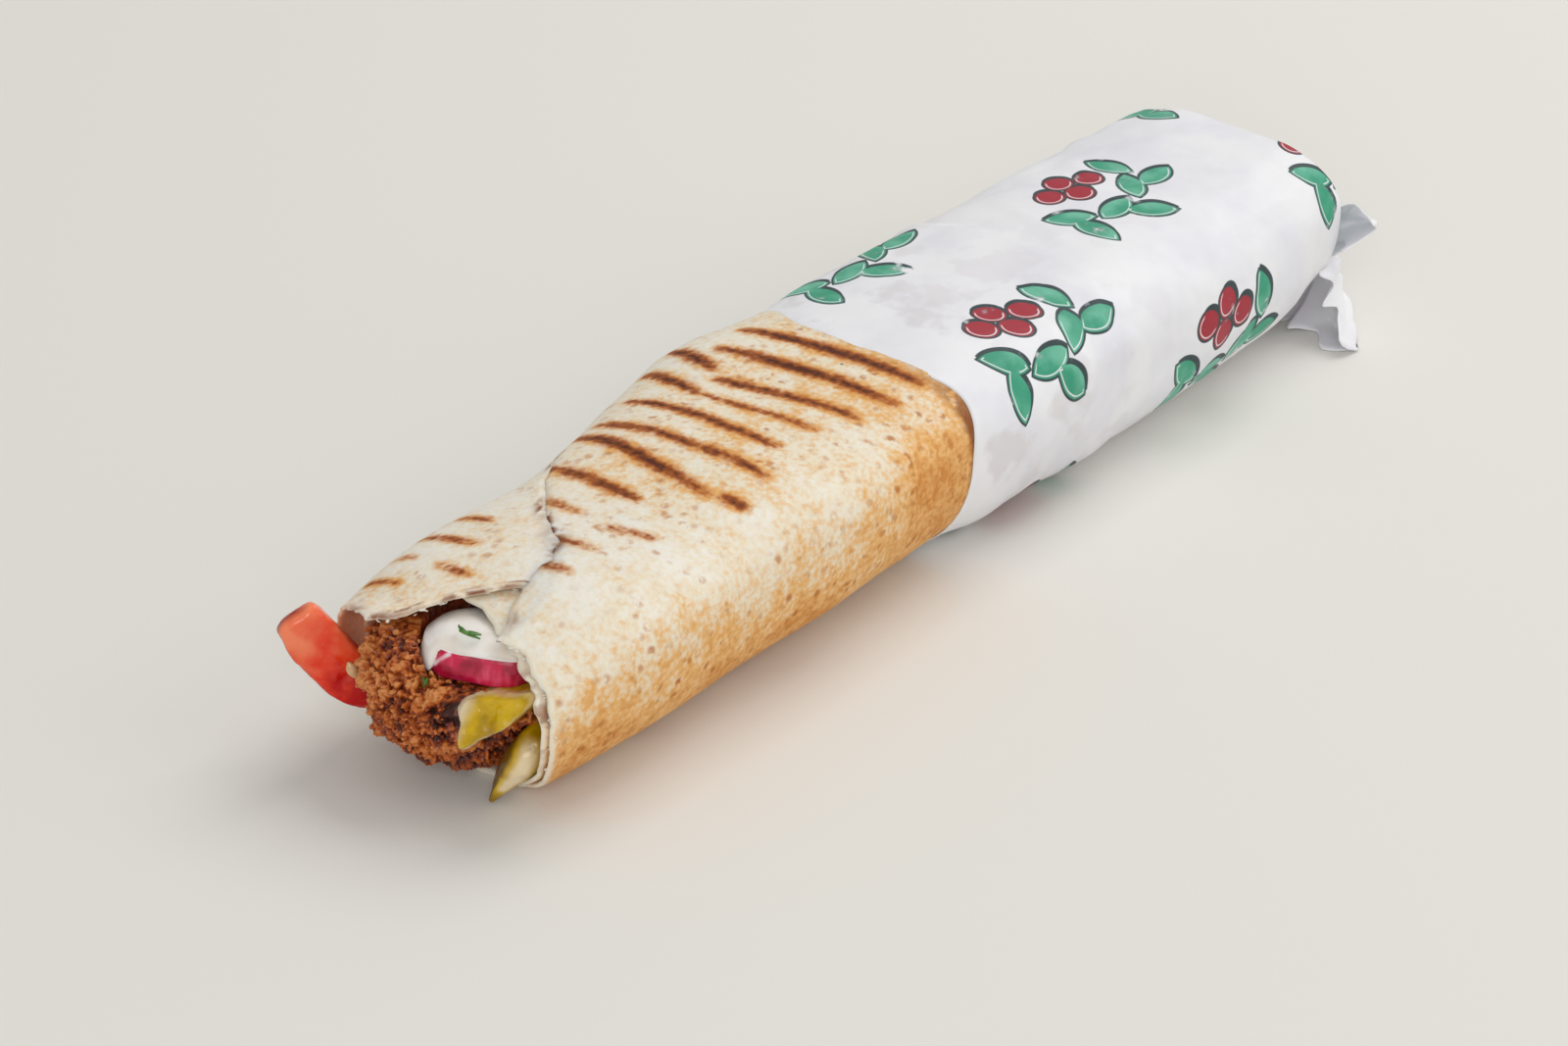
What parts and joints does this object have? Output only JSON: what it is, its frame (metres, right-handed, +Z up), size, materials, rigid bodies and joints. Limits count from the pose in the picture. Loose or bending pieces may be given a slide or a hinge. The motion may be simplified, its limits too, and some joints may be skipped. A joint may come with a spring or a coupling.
{
  "type": "half falafel wrap",
  "caption": "Half of a rolled flatbread wrap with falafel, tomato, radish and pickle at its cut end, the other end in a gathered paper sleeve.",
  "frame": {"origin": "on the table under the middle of the bounding box", "axes": "+X along the roll from the cut, filled end to the gathered paper tail; +Z up; -Y is the side with the outer flap's long face"},
  "size_m": [0.315, 0.0832, 0.048],
  "materials": {
    "flatbread": "baked wheat flatbread, cream with toasted freckles and brown grill bars",
    "wrapping_paper": "thin greaseproof paper, white with a printed leaf pattern",
    "falafel_crust": "craggy deep-fried crust",
    "tomato_flesh": "wet ripe tomato",
    "radish_flesh": "moist white flesh with a crimson skin",
    "pickle_flesh": "wet pickled cucumber, yellow-green"
  },
  "bodies": {
    "root": {"flatbread": "flatbread", "paper_sleeve": "wrapping_paper", "falafel": "falafel_crust", "tomato_strip": "tomato_flesh", "radish_slice": "radish_flesh", "pickle_chunk": "pickle_flesh", "pickle_wedge": "pickle_flesh"}
  },
  "joints": []
}
